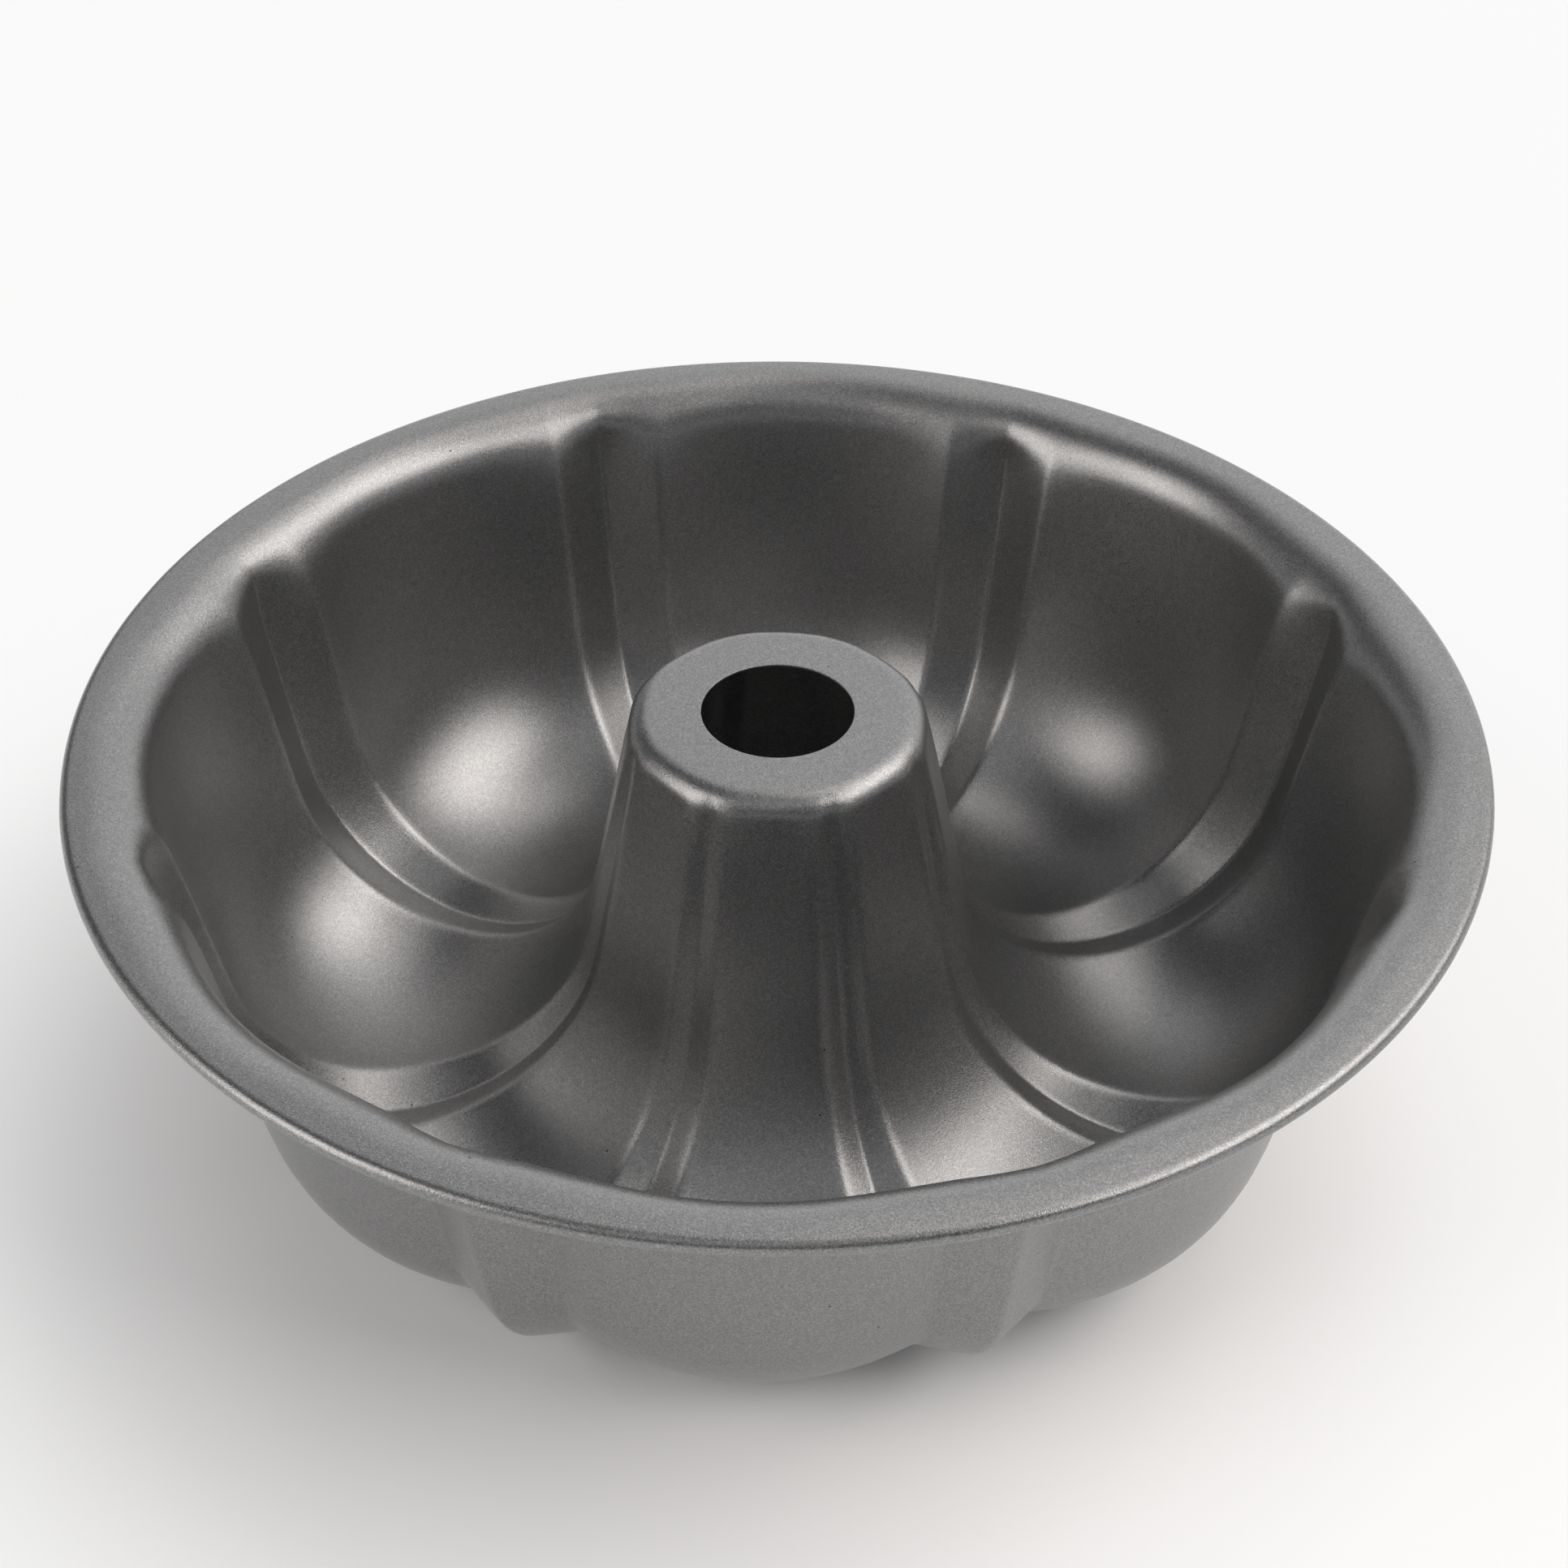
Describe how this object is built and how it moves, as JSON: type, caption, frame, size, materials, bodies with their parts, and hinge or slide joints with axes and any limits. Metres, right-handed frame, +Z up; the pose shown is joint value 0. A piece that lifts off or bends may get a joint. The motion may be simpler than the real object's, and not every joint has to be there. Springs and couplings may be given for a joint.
{
  "type": "fluted ring baking pan",
  "caption": "Round fluted ring cake pan pressed from coated sheet steel, with a hollow centre tube, flat flange and wire-rolled rim.",
  "frame": {"origin": "on the pan's axis, at the level of the surface that it stands on", "axes": "+Z up along the tube's axis; +X through the middle of a lobe, with a groove half a pitch to each side"},
  "size_m": [0.26, 0.26, 0.08],
  "materials": {
    "coated_sheet": "dark pewter-grey metallic non-stick coat, satin, with a fine sparkling grain",
    "bare_wire": "drawn steel wire, hidden in the rolled rim"
  },
  "bodies": {
    "root": {"pan_shell": "coated_sheet", "rim_wire": "bare_wire"}
  },
  "joints": []
}
